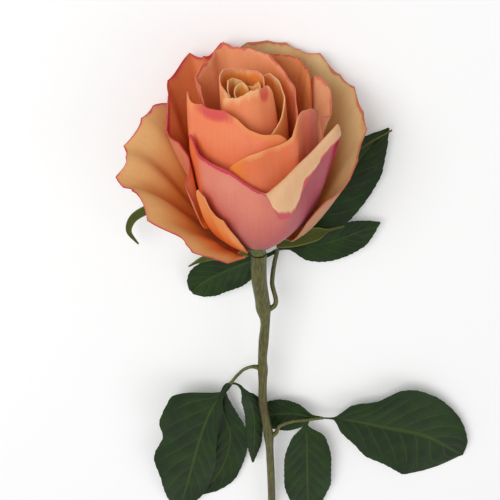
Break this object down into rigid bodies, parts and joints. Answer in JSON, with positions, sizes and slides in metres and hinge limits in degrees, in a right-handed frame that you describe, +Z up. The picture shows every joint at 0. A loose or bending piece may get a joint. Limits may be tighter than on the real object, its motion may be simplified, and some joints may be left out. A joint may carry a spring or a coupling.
{
  "type": "cut rose",
  "caption": "Single cut rose with an open bloom, sepals, leafy stem and a slanted cut end, lying on its side.",
  "frame": {"origin": "on the surface the rose lies on, under the middle of its bounding box", "axes": "+Y along the stem towards the bloom, +X towards the flower's right as seen from above with the bloom at the top, +Z up"},
  "size_m": [0.1573, 0.2904, 0.0547],
  "materials": {
    "petal_core_heart": "matte petal",
    "petal_core_mid": "matte petal",
    "petal_core_outer": "matte petal",
    "petal_heart_back": "matte petal",
    "petal_heart_front": "matte petal",
    "petal_heart_right": "matte petal",
    "petal_back_wide": "matte petal",
    "petal_coral_left": "matte petal",
    "petal_back_right": "matte petal",
    "petal_coral_right": "matte petal",
    "petal_tip_right": "matte petal",
    "petal_front": "matte petal",
    "petal_tuck_low": "matte petal",
    "petal_guard_upper": "matte petal",
    "petal_guard_left": "matte petal",
    "petal_guard_right": "matte petal",
    "leaf": "satin leaf",
    "stem": "satin green stem",
    "sepal": "matte green"
  },
  "bodies": {
    "root": {"petal_core_heart": "petal_core_heart", "petal_core_mid": "petal_core_mid", "petal_core_outer": "petal_core_outer", "petal_heart_back": "petal_heart_back", "petal_heart_front": "petal_heart_front", "petal_heart_right": "petal_heart_right", "petal_back_wide": "petal_back_wide", "petal_coral_left": "petal_coral_left", "petal_back_right": "petal_back_right", "petal_coral_right": "petal_coral_right", "petal_tip_right": "petal_tip_right", "petal_front": "petal_front", "petal_tuck_low": "petal_tuck_low", "petal_guard_upper": "petal_guard_upper", "petal_guard_left": "petal_guard_left", "petal_guard_right": "petal_guard_right", "leaf_upper_tip": "leaf", "leaf_upper_right": "leaf", "leaf_upper_left": "leaf", "leaf_left_tip": "leaf", "leaf_left_low": "leaf", "leaf_left_side": "leaf", "leaf_right_tip": "leaf", "leaf_right_hanging": "leaf", "leaf_right_back": "leaf", "stem": "stem", "leaf_upper_stalk": "stem", "leaf_left_stalk": "stem", "leaf_right_stalk": "stem", "receptacle": "sepal", "sepal_left_hook": "sepal", "sepal_right": "sepal", "sepal_low_left": "sepal", "sepal_far_right": "sepal", "sepal_under": "sepal"}
  },
  "joints": []
}
